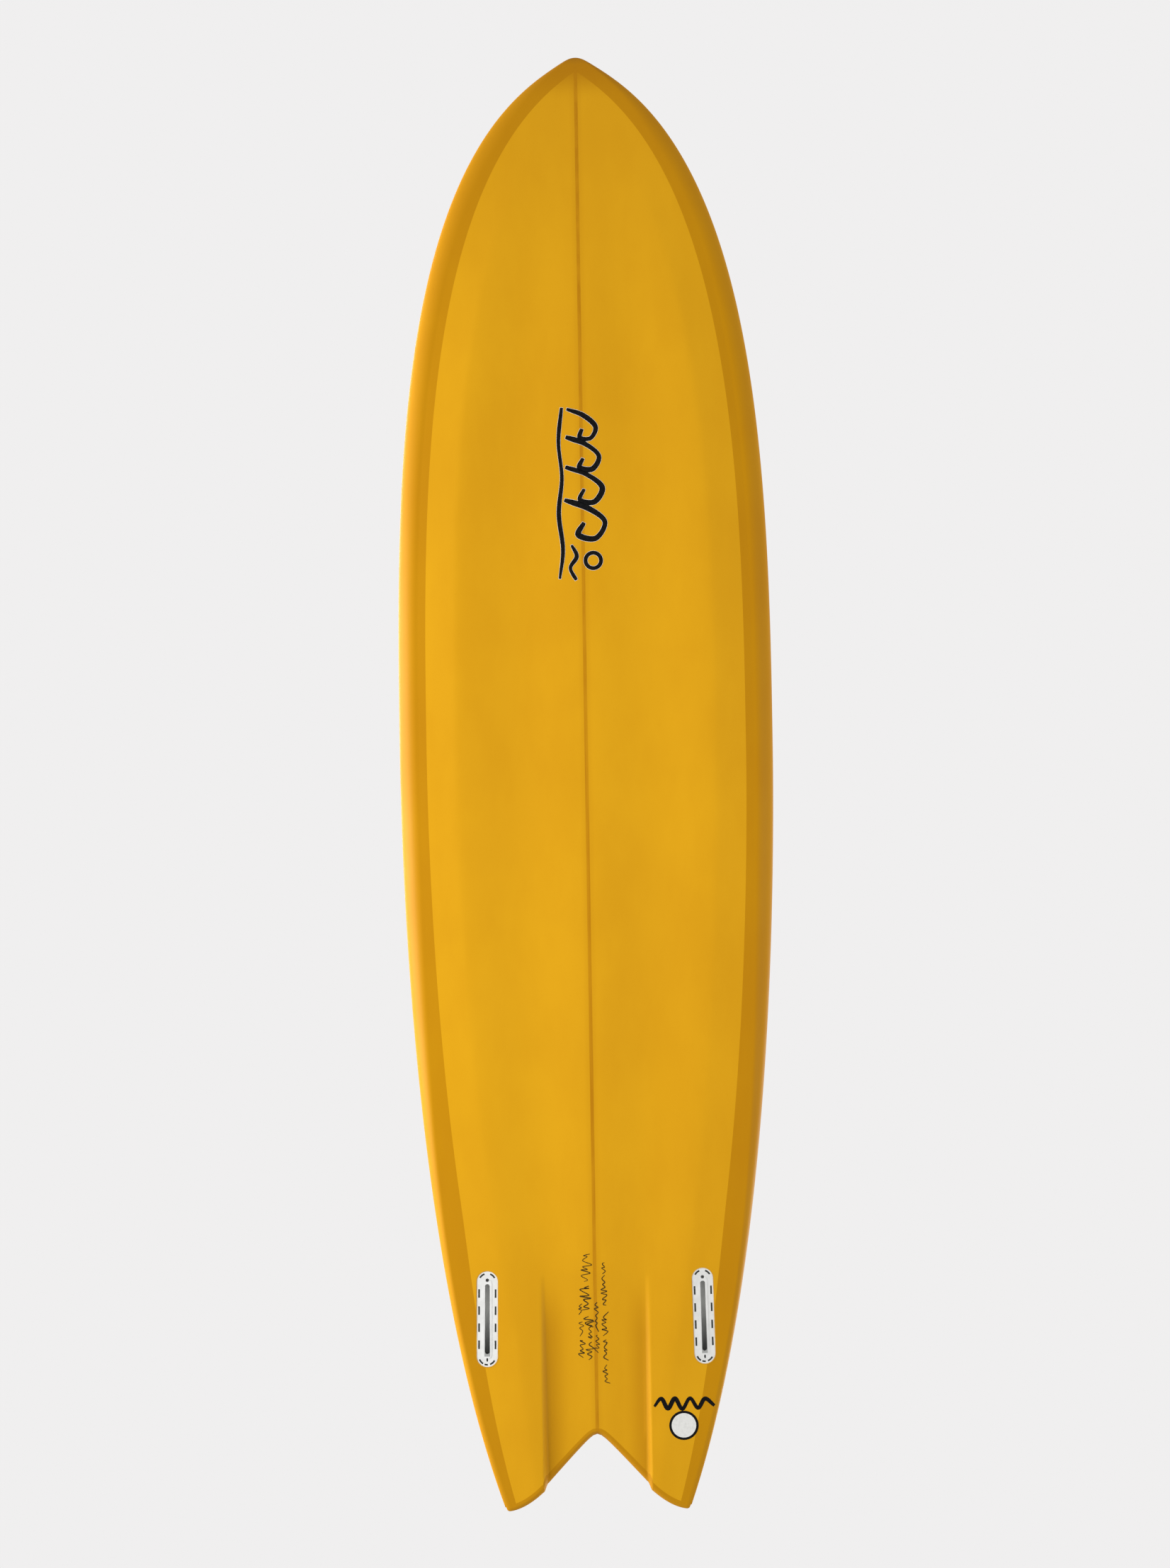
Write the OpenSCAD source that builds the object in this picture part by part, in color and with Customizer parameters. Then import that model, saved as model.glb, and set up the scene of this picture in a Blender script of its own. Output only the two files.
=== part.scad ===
// Swallow-tail twin-fin surfboard, lying deck up.
// +X points to the nose, +Y to the port rail, +Z out of the deck.
// The origin is midway along the board on the stringer, at the level of the bottom's lowest point.
// A station is a distance back from the nose tip along X. Heights are in Z.

/* [Outline] */
// Length from the nose tip to the tail tips
board_l = 2032; // [1830:2:2240]
// Width at the widest point
board_w = 520.6; // [500:0.2:560]
// Station of the widest point
wide_s = 962; // [900:1:1000]
// Reach of the outline's handle out from the nose tip
nose_reach = 110; // [80:1:130]
// Reach of the handle that runs forward from the widest point
fore_reach = 364; // [300:1:420]
// Reach of the handle that runs back from the widest point
aft_reach = 208; // [150:1:260]
// Outward swing of the outline ahead of the tail tips
tail_swing = 122.2; // [110:0.2:130]
// Half width that the tail outline runs to, just behind the tips
tail_half_w = 125.4; // [120:0.2:132]

/* [Swallow tail] */
// Distance from the tail tips forward to the notch's apex
notch_depth = 106.5; // [95:0.5:115]
// Slope of the notch's sides, as station over half width
notch_slope = 1.1; // [0.9:0.02:1.2]
// Radius at the notch's apex
notch_r = 8; // [5:0.5:12]
// Fall of the trailing edge from the tail tip in to the channel wall
tip_fall = 26; // [20:0.5:30]
// Radius on the outer corner of each tail tip
tip_r = 6; // [4:0.5:8]

/* [Rocker and thickness] */
// Lift of the bottom at the nose tip
nose_rocker = 118; // [90:1:135]
// Lift of the bottom at the tail tips
tail_rocker = 50; // [35:1:60]
// Station of the bottom's lowest point
low_s = 1180; // [1100:5:1250]
// Thickness at the thickest station, on the stringer
thick = 67; // [60:0.5:76]
// Station of the greatest thickness
thick_s = 980; // [900:5:1050]
// Thickness at the nose tip
nose_t = 11; // [9:0.5:14]
// Thickness at the tail tips
tail_t = 13; // [11:0.5:16]

/* [Bottom contour] */
// Distance of the panel crease in from the outline
crease_inset = 79; // [72:0.5:84]
// Depth of each half of the double concave
concave = 2.6; // [0:0.1:4]
// Rise of the bevel beside the crease, per unit of width
bevel_slope = 0.115; // [0.06:0.005:0.15]
// Half width of the tail channel, to the foot of its wall
channel_y = 69; // [62:0.5:72]
// Width of the channel's sloping wall
channel_wall = 7; // [4:0.5:9]
// Depth of the channel where it leaves the tail
channel_d = 7; // [4:0.5:7]
// Station where the channel starts
channel_s = 1700; // [1700:2:1760]

/* [Laminates] */
// Thickness of one layer of glass and resin
ply = 0.6; // [0.5:0.05:0.8]
// Width of the deck laminate's lap on the bottom
lap_w = 37.6; // [32:0.2:42]
// Width of the lap at the tail tips
lap_tail_w = 16; // [12:0.5:20]
// Thickness of the wooden stringer
stringer_t = 4.8; // [3.2:0.1:6.4]

/* [Fin boxes] */
// Station of the middle of each fin box
box_s = 1762; // [1756:1:1768]
// Distance of the middle of each fin box from the stringer
box_y = 151; // [148:0.5:153]
// Toe-in of each fin box, in degrees
box_toe = 1; // [0:0.1:2]
// Length of the box's flange
box_l = 134.4; // [130:0.2:136]
// Width of the box's flange
box_w = 29.3; // [27:0.1:30]
// Depth of the box's body below the flange's face
box_d = 17; // [16:0.5:17.5]
// Length of the fin slot
slot_l = 98.5; // [92:0.5:100]
// Width of the fin slot
slot_w = 6.8; // [6.4:0.1:7.2]
// Depth of the fin slot
slot_d = 13.5; // [12:0.5:14]
// Distance of the set screw ahead of the middle of the box
screw_x = 54.7; // [54:0.1:56]

/* [Leash plug] */
// Distance of the leash plug ahead of the notch's apex
plug_ahead = 96; // [80:1:120]
// Distance of the leash plug from the stringer, to port
plug_y = 30; // [26:0.5:40]
// Diameter of the plug's flange
plug_flange_d = 30; // [28:0.5:32]
// Diameter of the plug's cup
plug_cup_d = 21; // [19:0.5:22]
// Depth of the plug, flange face to cup base
plug_d = 17; // [15:0.5:18]

/* [Hidden] */

$fn = 64;
port = 1;
starboard = -1;
half_w = board_w / 2;
slack = 0.01;                  // a cut runs this far past the face it opens
clear = 6;                     // a pocket's cut runs this far past the board's surface
skin = 2 * ply;                // both layers of glass together

// Stations down the board
fore_n = 13;                   // intervals from the nose to the first tail station
fore_end = 1000;
mid_n = 6;                     // intervals over the straight run to the tail
tail_n = 7;                    // intervals that fan out to the trailing edge
tail_start = 1700;
stem_s = 4;                    // solid laminate behind the nose tip
stem_fade = 60;                // run over which that solid nose thins to the plain skin
tail_stem = 7;                 // solid laminate ahead of the trailing edge
last = fore_n + mid_n + tail_n;

// Columns across each half, from the stringer out to the rail's apex
lap_col = 9;                   // the deck laminate's cut edge on the bottom
foot_col = 3;                  // the foot of the channel's wall
top_col = 4;                   // the top of the channel's wall
crease_col = 7;                // the panel's crease
rail_cols = 5;                 // columns round the rail
rail_col = lap_col + 2 + rail_cols;
row_power = 1.9;               // how the stations crowd toward the nose
fan_power = 1.3;               // and toward the trailing edge

// Outline and trailing edge
nose_flat = 2.2;               // how far the nose's first handle stops short of the half width
nose_r = 24;                   // radius that rounds off the very tip of the nose
nose_round_run = 8;            // run over which that rounding fades
tip_half_w = 129;              // half width at the tail tips' corners
tail_curve_s = board_l + 7.5;  // station where the outline's tail curve would end
tail_reach = 333.7;            // reach of that curve's last handle
channel_top_y = channel_y + channel_wall;
shoulder_y = channel_top_y + 0.5;
tip_y = tip_half_w - 2;        // where the trailing edge has reached the tail tip's station
tip_power = 1.8;

// Rocker, thickness and section shape
nose_power = 2.6;
tail_power = 2.2;
thick_power = 2.4;
rail_height = 0.40;            // height of the rail's apex as a share of the thickness
crown_power = 3;               // how full the deck is across the middle
crown_round = 0.55;            // how round the deck falls to the rail
tuck_mid = 26;                 // width of the bottom's turn up into the rail
tuck_tail = 9;
tuck_share = 0.2;              // greatest share of the half width that the turn takes
tuck_fade = [1100, 1800];      // stations between which it narrows
least_half = 0.001;            // stands in for the half width of nothing at the very tip
stem_blend = 45;               // station where the nose's upright stem has become a full section
taper_s = 1600;                // station where the lap starts to narrow
taper_power = 1.5;
foot_share = 0.5;              // shares of the half width that hold the columns in the narrow nose
top_share = 0.58;
crease_share = 0.3;
lap_share = 0.36;
crease_between = 0.45;         // least way of the crease from the channel wall to the lap
under_lap = 1.5;               // next column outside the lap's cut edge

// Bottom contour: stations between which each part grows, and between which it halves
concave_grow = [150, 500];
concave_halve = [1500, 1900];
bevel_grow = [60, 480];
bevel_halve = [700, 1500];
channel_full_s = board_l - 40;
channel_power = 0.7;

// Fin box
flange_t = 2.2;
body_l = 128;
body_w = 20;
rim_w = 12.6;                  // raised rim round the slot
rim_l = 112;
rim_h = 0.4;
resin_gap = 1.1;               // resin between the box and the routed pocket
box_sink = 0.2;                // how far the flange's face lies below the bottom
screw_r = 2.4;
screw_bore_r = 2.45;
screw_l = 9;
screw_sink = 1;
thread_pitch = 0.8;
thread_depth = 0.33;
key_af = 2.4;                  // hex key's width across flats
socket_d = 3;                  // depth of the hex socket
point_d = 0.8;                 // depth and radius of the cup point
point_r = 1.4;
slit_l = 12;                   // resin slits through the flange
slit_w = 2.4;
slit_d = 1;
slit_pitch = 24;
slit_y = 11.5;
slits = 4;                     // slits along each side
front_slits = [[20, 62], [-62, -20]];  // curved slits round each end, by angle
back_slits = [[118, 160], [176, 200], [210, 250]];
dimple_l = 5;                  // blind mark behind the slot
toe_run = 10.5;                // hollow under the screw that takes the fin's front toe
heel_run = 5;                  // hollow behind the slot that takes the fin's heel
toe_roof = 7.5;                // material above both hollows

// Leash plug
plug_flange_t = 1.6;
flange_bed = 0.4;              // resin under the plug's flange
cup_wall = 1.8;
pin_r = 1.6;
pin_depth = 5.2;
pin_fit = 0.02;
pin_bite = 1.2;                // how far the pin enters the cup's wall at each end

// ---------------------------------------------------------------- curves

function clamp01(t) = min(1, max(0, t));
function smooth(t) = let (c = clamp01(t)) c * c * (3 - 2 * c);
// 0 ahead of the first station of a pair, 1 behind the second
function passed(s, pair) = smooth((s - pair[0]) / (pair[1] - pair[0]));
function mix(a, b, t) = a + (b - a) * t;
function bezier(a, b, c, d, t) =
    let (u = 1 - t) u * u * u * a + 3 * u * u * t * b + 3 * u * t * t * c + t * t * t * d;

// Curve parameter at which a rising cubic reaches the value v
function bezier_at(a, b, c, d, v, lo = 0, hi = 1, left = 26) =
    let (m = (lo + hi) / 2)
    left == 0 ? m
    : bezier(a, b, c, d, m) < v ? bezier_at(a, b, c, d, v, m, hi, left - 1)
    : bezier_at(a, b, c, d, v, lo, m, left - 1);

function fore_half(s) =
    s <= 0 ? 0
    : let (t = bezier_at(0, nose_reach, wide_s - fore_reach, wide_s, s))
    let (plain = bezier(0, half_w - nose_flat, half_w, half_w, t))
    sqrt(plain * plain + 2 * nose_r * s * exp(-s / nose_round_run));
function aft_half(s) =
    let (t = bezier_at(wide_s, wide_s + aft_reach, tail_curve_s - tail_reach, tail_curve_s, s))
    bezier(half_w, half_w, tail_half_w + tail_swing, tail_half_w, t);

// Half width of the outline at station s
function outline(s) = s < wide_s ? fore_half(s) : aft_half(s);

// Station of the trailing edge at a distance y from the stringer
function notch_side(y) =
    board_l - notch_depth + notch_slope * (sqrt(y * y + notch_r * notch_r) - notch_r);
function tip_side(y) =
    let (v = clamp01((y - shoulder_y) / (tip_y - shoulder_y)))
    board_l - tip_fall * pow(1 - v, tip_power);
function tip_corner(y) =
    let (e = min(tip_r, max(0, y - tip_half_w + tip_r))) tip_r - sqrt(tip_r * tip_r - e * e);
function trailing_edge(y) =
    y < channel_y + channel_wall / 2 ? notch_side(y) : tip_side(y) - tip_corner(y);

// Height of the bottom on the stringer, and thickness there
function rocker(s) =
    s < low_s ? nose_rocker * pow((low_s - s) / low_s, nose_power)
    : tail_rocker * pow((s - low_s) / (board_l - low_s), tail_power);
function thickness(s) =
    s < thick_s ? mix(thick, nose_t, pow((thick_s - s) / thick_s, thick_power))
    : mix(thick, tail_t, pow((s - thick_s) / (board_l - thick_s), thick_power));

// ---------------------------------------------------------------- section

// Distances from the stringer of the section's features, for half width h at station s
function lap_at(s) =
    lap_w - (lap_w - lap_tail_w) * pow(clamp01((s - taper_s) / (board_l - taper_s)), taper_power);
function lap_y(s, h) = max(lap_share * h, h - lap_at(s));
function tuck_y(s, h) = h - min(mix(tuck_mid, tuck_tail, passed(s, tuck_fade)), tuck_share * h);
function room_y(s, h) = s > low_s ? h : max(crease_share * h, h - crease_inset);
function wall_foot_y(s, h) = min(channel_y, foot_share * room_y(s, h));
function wall_top_y(s, h) = min(channel_top_y, top_share * room_y(s, h));
function crease_y(s, h) =
    let (out = wall_top_y(s, h))
    max(crease_share * h, h - crease_inset, mix(out, lap_y(s, h), crease_between));

// Distance from the stringer of column c
function column_y(c, s, h) =
    let (foot = wall_foot_y(s, h), top = wall_top_y(s, h), crease = crease_y(s, h))
    let (lap = lap_y(s, h), tuck = tuck_y(s, h))
    c <= foot_col ? foot * c / foot_col
    : c <= crease_col ? mix(top, crease, (c - top_col) / (crease_col - top_col))
    : c < lap_col ? (crease + lap) / 2
    : c == lap_col ? lap
    : c == lap_col + 1 ? min(lap + under_lap, (lap + tuck) / 2)
    : mix(tuck, h, sin(90 * (c - lap_col - 2) / rail_cols));

function concave_at(s) = concave * passed(s, concave_grow) * (1 - passed(s, concave_halve) / 2);
function bevel_at(s) = bevel_slope * passed(s, bevel_grow) * (1 - passed(s, bevel_halve) / 2);
function channel_at(s) =
    channel_d * pow(clamp01((s - channel_s) / (channel_full_s - channel_s)), channel_power);
function rail_z(s) = rocker(s) + rail_height * thickness(s);

// Height of the bottom ahead of the rail's turn
function panel_z(s, y, h) =
    let (crease = crease_y(s, h), foot = wall_foot_y(s, h), top = wall_top_y(s, h))
    rocker(s)
    + concave_at(s) * pow(sin(180 * min(1, y / crease)), 2)
    + bevel_at(s) * max(0, y - crease)
    + channel_at(s) * (1 - clamp01((y - foot) / (top - foot)));

// Height of the bottom at column c, and of the deck above it
function bottom_z(c, s, h) =
    let (y = column_y(c, s, h), tuck = tuck_y(s, h), edge = rail_z(s))
    let (t = clamp01((y - tuck) / (h - tuck)), z = panel_z(s, min(y, tuck), h))
    mix(z, edge, 1 - sqrt(max(0, 1 - t * t)));
function deck_z(c, s, h) =
    let (f = min(1, column_y(c, s, h) / h), edge = rail_z(s), top = rocker(s) + thickness(s))
    mix(edge, top, pow(max(0, 1 - pow(f, crown_power)), crown_round));

// ---------------------------------------------------------------- surfaces

// Station of row i on column c
function fore_station(i) = fore_end * pow(i / fore_n, row_power);
function tail_station(i, c) =
    let (end_y = c <= foot_col ? channel_y * c / foot_col : mix(channel_top_y, tip_half_w, tail_share(c)))
    let (u = (i - fore_n - mid_n) / tail_n)
    mix(tail_start, trailing_edge(end_y), 1 - pow(1 - u, fan_power));
// How far column c stands between the channel wall and the tail tip's corner
function tail_share(c) =
    (column_y(c, board_l - tip_r, tip_half_w) - channel_top_y) / (tip_half_w - channel_top_y);
function station(i, c) =
    i <= fore_n ? fore_station(i)
    : i <= fore_n + mid_n ? mix(fore_end, tail_start, (i - fore_n) / mid_n)
    : tail_station(i, c);

// Point of the board at row i and column c, at a depth under the finished surface.
// up is 0 for the bottom and 1 for the deck; both meet on the rail's apex. Depth runs toward the
// rail's apex, but straight up in the tail channel, which is cut higher than that.
function point(side, up, i, c, depth) =
    let (s = station(i, c), h = max(outline(s), least_half))
    let (share = depth / skin, stem = mix(rocker(s), rail_z(s), c / rail_col))
    let (crown = mix(rocker(s) + thickness(s), rail_z(s), c / rail_col))
    let (full = smooth(s / stem_blend))
    let (z0 = mix(stem, bottom_z(c, s, h), full), z1 = mix(crown, deck_z(c, s, h), full))
    let (mid = rail_z(s), squeeze = depth / (rail_height * thickness(s)))
    let (aim = c <= crease_col && s > channel_s ? z0 + rail_height * thickness(s) : mid)
    let (z = c == rail_col ? mid : up == 0 ? mix(z0, aim, squeeze) : mix(z1, mid, squeeze))
    let (y = i == 0 ? 0 : column_y(c, s, h) * (h - depth) / h)
    let (back = stem_s * share * pow(1 - clamp01(s / stem_fade), 2))
    let (ahead = i == last ? tail_stem * share : 0)
    [board_l / 2 - s - back + ahead, side * y, z];

// Triangles over a grid of points, leaving out those with no area
function triangle(a, b, c) = a == b || b == c || c == a ? [] : [[a, b, c]];
function grid_faces(g) = [
    for (i = [0 : len(g) - 2], j = [0 : len(g[0]) - 2])
        each concat(
            triangle(g[i][j], g[i + 1][j], g[i + 1][j + 1]),
            triangle(g[i][j], g[i + 1][j + 1], g[i][j + 1])
        )
];
function flip(faces) = [for (f = faces) [f[0], f[2], f[1]]];
function facing(faces, side) = side == port ? faces : flip(faces);

// Grid of points over columns of the bottom or deck, with a depth for each column
function sheet(side, up, cols, depths) =
    [for (i = [0 : last]) [for (c = cols) point(side, up, i, c, depths[c])]];
// Grid of points between two lists of points
function band(a, b) = [a, b];
function tail_row(side, up, cols, depths) =
    [for (c = cols) point(side, up, last, c, depths[c])];

module solid(faces) {
    polyhedron(
        points = [for (f = faces) each f],
        faces = [for (n = [0 : len(faces) - 1]) [3 * n + 2, 3 * n + 1, 3 * n]],
        convexity = 8
    );
}

// Depth of each interface, by column
all_cols = [0 : rail_col];
outer = [for (c = all_cols) 0];
between = [for (c = all_cols) ply];
inner = [for (c = all_cols) skin];
lap_under = [for (c = all_cols) c <= lap_col ? 0 : ply];        // bottom laminate under the deck's lap
deck_over = [for (c = all_cols) c <= lap_col ? skin : ply];     // bottom laminate's edge on the deck
patch_under = [for (c = all_cols) c <= lap_col ? skin : ply];

// ---------------------------------------------------------------- foam and wood

// One half of the surface inside the laminates
function core_half(side) =
    let (bottom = sheet(side, 0, all_cols, inner), deck = sheet(side, 1, all_cols, inner))
    facing(concat(
        grid_faces(bottom), flip(grid_faces(deck)), grid_faces(band(bottom[last], deck[last]))
    ), side);

// The foam on one side: the whole core with the other side and the stringer cut away
module foam_half(side) {
    color("whitesmoke")
        difference() {
            solid(concat(core_half(port), core_half(starboard)));
            translate([-board_l, side == port ? -board_w : -stringer_t / 2, -board_l / 2])
                cube([2 * board_l, board_w + stringer_t / 2, board_l]);
            at_fin_box(side) box_pocket();
            if (side == port) at_leash_plug() plug_pocket();
        }
}

// The wood: the slice of the core between the two pieces of foam
module stringer() {
    color("burlywood")
        difference() {
            solid(concat(core_half(port), core_half(starboard)));
            for (y = [stringer_t / 2, -stringer_t / 2 - board_w])
                translate([-board_l, y, -board_l / 2])
                    cube([2 * board_l, board_w, board_l]);
        }
}

// ---------------------------------------------------------------- laminates

// One half of the bottom laminate: over the bottom, round the rail and a little onto the deck
function bottom_laminate_half(side) =
    let (deck_cols = [lap_col : rail_col])
    let (out_low = sheet(side, 0, all_cols, lap_under), in_low = sheet(side, 0, all_cols, inner))
    let (out_high = sheet(side, 1, deck_cols, deck_over), in_high = sheet(side, 1, deck_cols, inner))
    let (tail_low = band(out_low[last], in_low[last]), tail_high = band(out_high[last], in_high[last]))
    facing(concat(
        grid_faces(out_low), flip(grid_faces(out_high)), flip(grid_faces(in_low)), grid_faces(in_high),
        grid_faces(tail_low), flip(grid_faces(tail_high))
    ), side);

// One half of the deck's second cloth, which stops short of the rail
function deck_patch_half(side) =
    let (cols = [0 : lap_col + 1])
    let (top = sheet(side, 1, cols, between), under = sheet(side, 1, cols, patch_under))
    facing(concat(
        flip(grid_faces(top)), grid_faces(under), flip(grid_faces(band(top[last], under[last])))
    ), side);

// One half of the deck laminate: the deck, the rail, the lap on the bottom and the trailing edge
function deck_laminate_half(side) =
    let (lap_cols = [lap_col : rail_col])
    let (out_high = sheet(side, 1, all_cols, outer), in_high = sheet(side, 1, all_cols, between))
    let (out_low = sheet(side, 0, lap_cols, outer), in_low = sheet(side, 0, lap_cols, lap_under))
    let (rim_low = tail_row(side, 0, all_cols, outer), rim_high = tail_row(side, 1, all_cols, outer))
    let (ply_low = tail_row(side, 0, all_cols, lap_under), ply_high = tail_row(side, 1, all_cols, between))
    let (core_low = tail_row(side, 0, all_cols, inner), core_high = tail_row(side, 1, all_cols, inner))
    facing(concat(
        flip(grid_faces(out_high)), grid_faces(in_high), grid_faces(out_low), flip(grid_faces(in_low)),
        grid_faces(band(rim_low, rim_high)),
        flip(grid_faces([ply_low, core_low, core_high, ply_high]))
    ), side);

module laminate(halves) {
    difference() {
        solid(halves);
        for (side = [port, starboard])
            at_fin_box(side) box_pocket();
        at_leash_plug() plug_pocket();
    }
}

module bottom_laminate() {
    color("orange")
        laminate(concat(bottom_laminate_half(port), bottom_laminate_half(starboard)));
}

module deck_patch() {
    color("gold")
        laminate(concat(deck_patch_half(port), deck_patch_half(starboard)));
}

module deck_laminate() {
    color("darkgoldenrod")
        laminate(concat(deck_laminate_half(port), deck_laminate_half(starboard)));
}

// ---------------------------------------------------------------- fin boxes

// Height of the bottom on the box's line, a distance behind the box's middle
function box_seat_z(behind) = let (s = box_s + behind) panel_z(s, box_y, outline(s));

// Puts a child drawn in the box's own frame into the bottom: x to the nose, z into the board
module at_fin_box(side) {
    run = box_l / 2;
    z = box_seat_z(0);
    pitch = atan((box_seat_z(-run) - box_seat_z(run)) / (2 * run));
    roll = atan(bevel_at(box_s));
    translate([board_l / 2 - box_s, side * box_y, z + box_sink])
        rotate([0, -pitch, 0])
            rotate([side * roll, 0, 0])
                rotate([0, 0, -side * box_toe])
                    children();
}

// A bar with round ends, from z0 to z1
module round_bar(length, width, z0, z1) {
    translate([0, 0, z0]) {
        translate([(width - length) / 2, -width / 2, 0])
            cube([length - width, width, z1 - z0]);
        for (x = [(width - length) / 2, (length - width) / 2])
            translate([x, 0, 0])
                cylinder(d = width, h = z1 - z0);
    }
}

// The routed pocket, with its mouth carried on to a height
module box_pocket(mouth = -clear) {
    round_bar(box_l + 2 * resin_gap, box_w + 2 * resin_gap, mouth, flange_t + resin_gap);
    round_bar(body_l + 2 * resin_gap, body_w + 2 * resin_gap, 0, box_d + resin_gap);
}

module box_outside(start = 0) {
    round_bar(box_l, box_w, start, flange_t);
    round_bar(body_l, body_w, 0, box_d);
}

module fin_box_resin(side) {
    color("ivory")
        at_fin_box(side)
            difference() {
                box_pocket(0);
                box_outside(-slack);
            }
}

// Part of a ring in the flange round one end, between two angles
module end_slit(x, span) {
    translate([x, 0, -slack])
        rotate([0, 0, span[0]])
            rotate_extrude(angle = span[1] - span[0])
                translate([slit_y - slit_w / 2, 0])
                    square([slit_w, slit_d + slack]);
}

module fin_box(side) {
    end_x = (box_l - box_w) / 2;
    color("white")
        at_fin_box(side)
            difference() {
                union() {
                    difference() {
                        box_outside();
                        round_bar(box_l + 1, box_w + 1, -slack, rim_h);
                    }
                    round_bar(rim_l, rim_w, 0, flange_t);
                }
                fin_slot();
                translate([screw_x, 0, -slack])
                    cylinder(r = screw_bore_r, h = toe_roof + 1);
                translate([-screw_x - dimple_l / 2, 0, -slack])
                    round_bar(dimple_l, slit_w, 0, rim_h + slit_d);
                for (n = [0 : slits - 1], y = [-slit_y, slit_y])
                    translate([(n - (slits - 1) / 2) * slit_pitch - slit_l / 2, y - slit_w / 2, 0])
                        cube([slit_l, slit_w, rim_h + slit_d]);
                translate([0, 0, rim_h]) {
                    for (span = front_slits) end_slit(end_x, span);
                    for (span = back_slits) end_slit(-end_x, span);
                }
            }
}

// The slot that takes a fin's base, with a hollow under the screw and one behind the heel
module fin_slot() {
    round_bar(slot_l, slot_w, -slack, slot_d);
    translate([-slot_l / 2 - heel_run, -slot_w / 2, toe_roof])
        cube([slot_l + heel_run + toe_run, slot_w, slot_d - toe_roof]);
}

// Grub screw with ring grooves for its thread, a hex socket and a cup point
module fin_screw(side) {
    grooves = floor(screw_l / thread_pitch) - 1;
    color("silver")
        at_fin_box(side)
            translate([screw_x, 0, screw_sink])
                difference() {
                    cylinder(r = screw_r, h = screw_l);
                    for (n = [1 : grooves])
                        translate([0, 0, n * thread_pitch]) thread_groove();
                    translate([0, 0, -slack])
                        cylinder(d = key_af / cos(30), h = socket_d, $fn = 6);
                    translate([0, 0, screw_l - point_d])
                        cylinder(r1 = 0, r2 = point_r, h = point_d + slack);
                }
}

module thread_groove() {
    rotate_extrude()
        polygon([
            [screw_r + slack, -thread_depth],
            [screw_r + slack, thread_depth],
            [screw_r - thread_depth, 0]
        ]);
}

// ---------------------------------------------------------------- leash plug

module at_leash_plug() {
    s = board_l - notch_depth - plug_ahead;
    h = outline(s);
    top = rocker(s) + thickness(s);
    f = plug_y / h;
    z = mix(rail_z(s), top, pow(1 - pow(f, crown_power), crown_round));
    translate([board_l / 2 - s, plug_y, z])
        children();
}

// A cup and its flange, reaching below the deck and carried on above it, all grown by a gap
module stepped_round(gap, under_cup, under_flange, above) {
    translate([0, 0, -plug_d - under_cup])
        cylinder(d = plug_cup_d + 2 * (cup_wall + gap), h = plug_d + under_cup + above);
    translate([0, 0, -plug_flange_t - under_flange])
        cylinder(d = plug_flange_d + 2 * gap, h = plug_flange_t + under_flange + above);
}

module plug_pocket(above = clear) {
    stepped_round(resin_gap, resin_gap, flange_bed, above);
}

module plug_outside(above = 0) {
    stepped_round(0, 0, 0, above);
}

module leash_plug_resin() {
    color("ivory")
        at_leash_plug()
            difference() {
                plug_pocket(0);
                plug_outside(slack);
            }
}

module leash_plug() {
    color("white")
        at_leash_plug()
            difference() {
                plug_outside();
                translate([0, 0, cup_wall - plug_d])
                    cylinder(d = plug_cup_d, h = plug_d);
                leash_pin_solid(pin_fit);
            }
}

module leash_pin_solid(extra) {
    length = plug_cup_d + 2 * pin_bite;
    translate([0, 0, -pin_depth])
        rotate([90, 0, 0])
            cylinder(r = pin_r + extra, h = length, center = true);
}

module leash_pin() {
    color("silver")
        at_leash_plug() leash_pin_solid(0);
}

// ---------------------------------------------------------------- nodes

foam_half(port);  // blank_port
foam_half(starboard);  // blank_starboard
stringer();
bottom_laminate();
deck_patch();
deck_laminate();
fin_box_resin(port);  // fin_box_resin_port
fin_box_resin(starboard);  // fin_box_resin_starboard
fin_box(port);  // fin_box_port
fin_box(starboard);  // fin_box_starboard
fin_screw(port);  // fin_screw_port
fin_screw(starboard);  // fin_screw_starboard
leash_plug_resin();
leash_plug();
leash_pin();
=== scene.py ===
import math

import bmesh
import bpy
import numpy as np
from mathutils import Matrix, Vector


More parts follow.
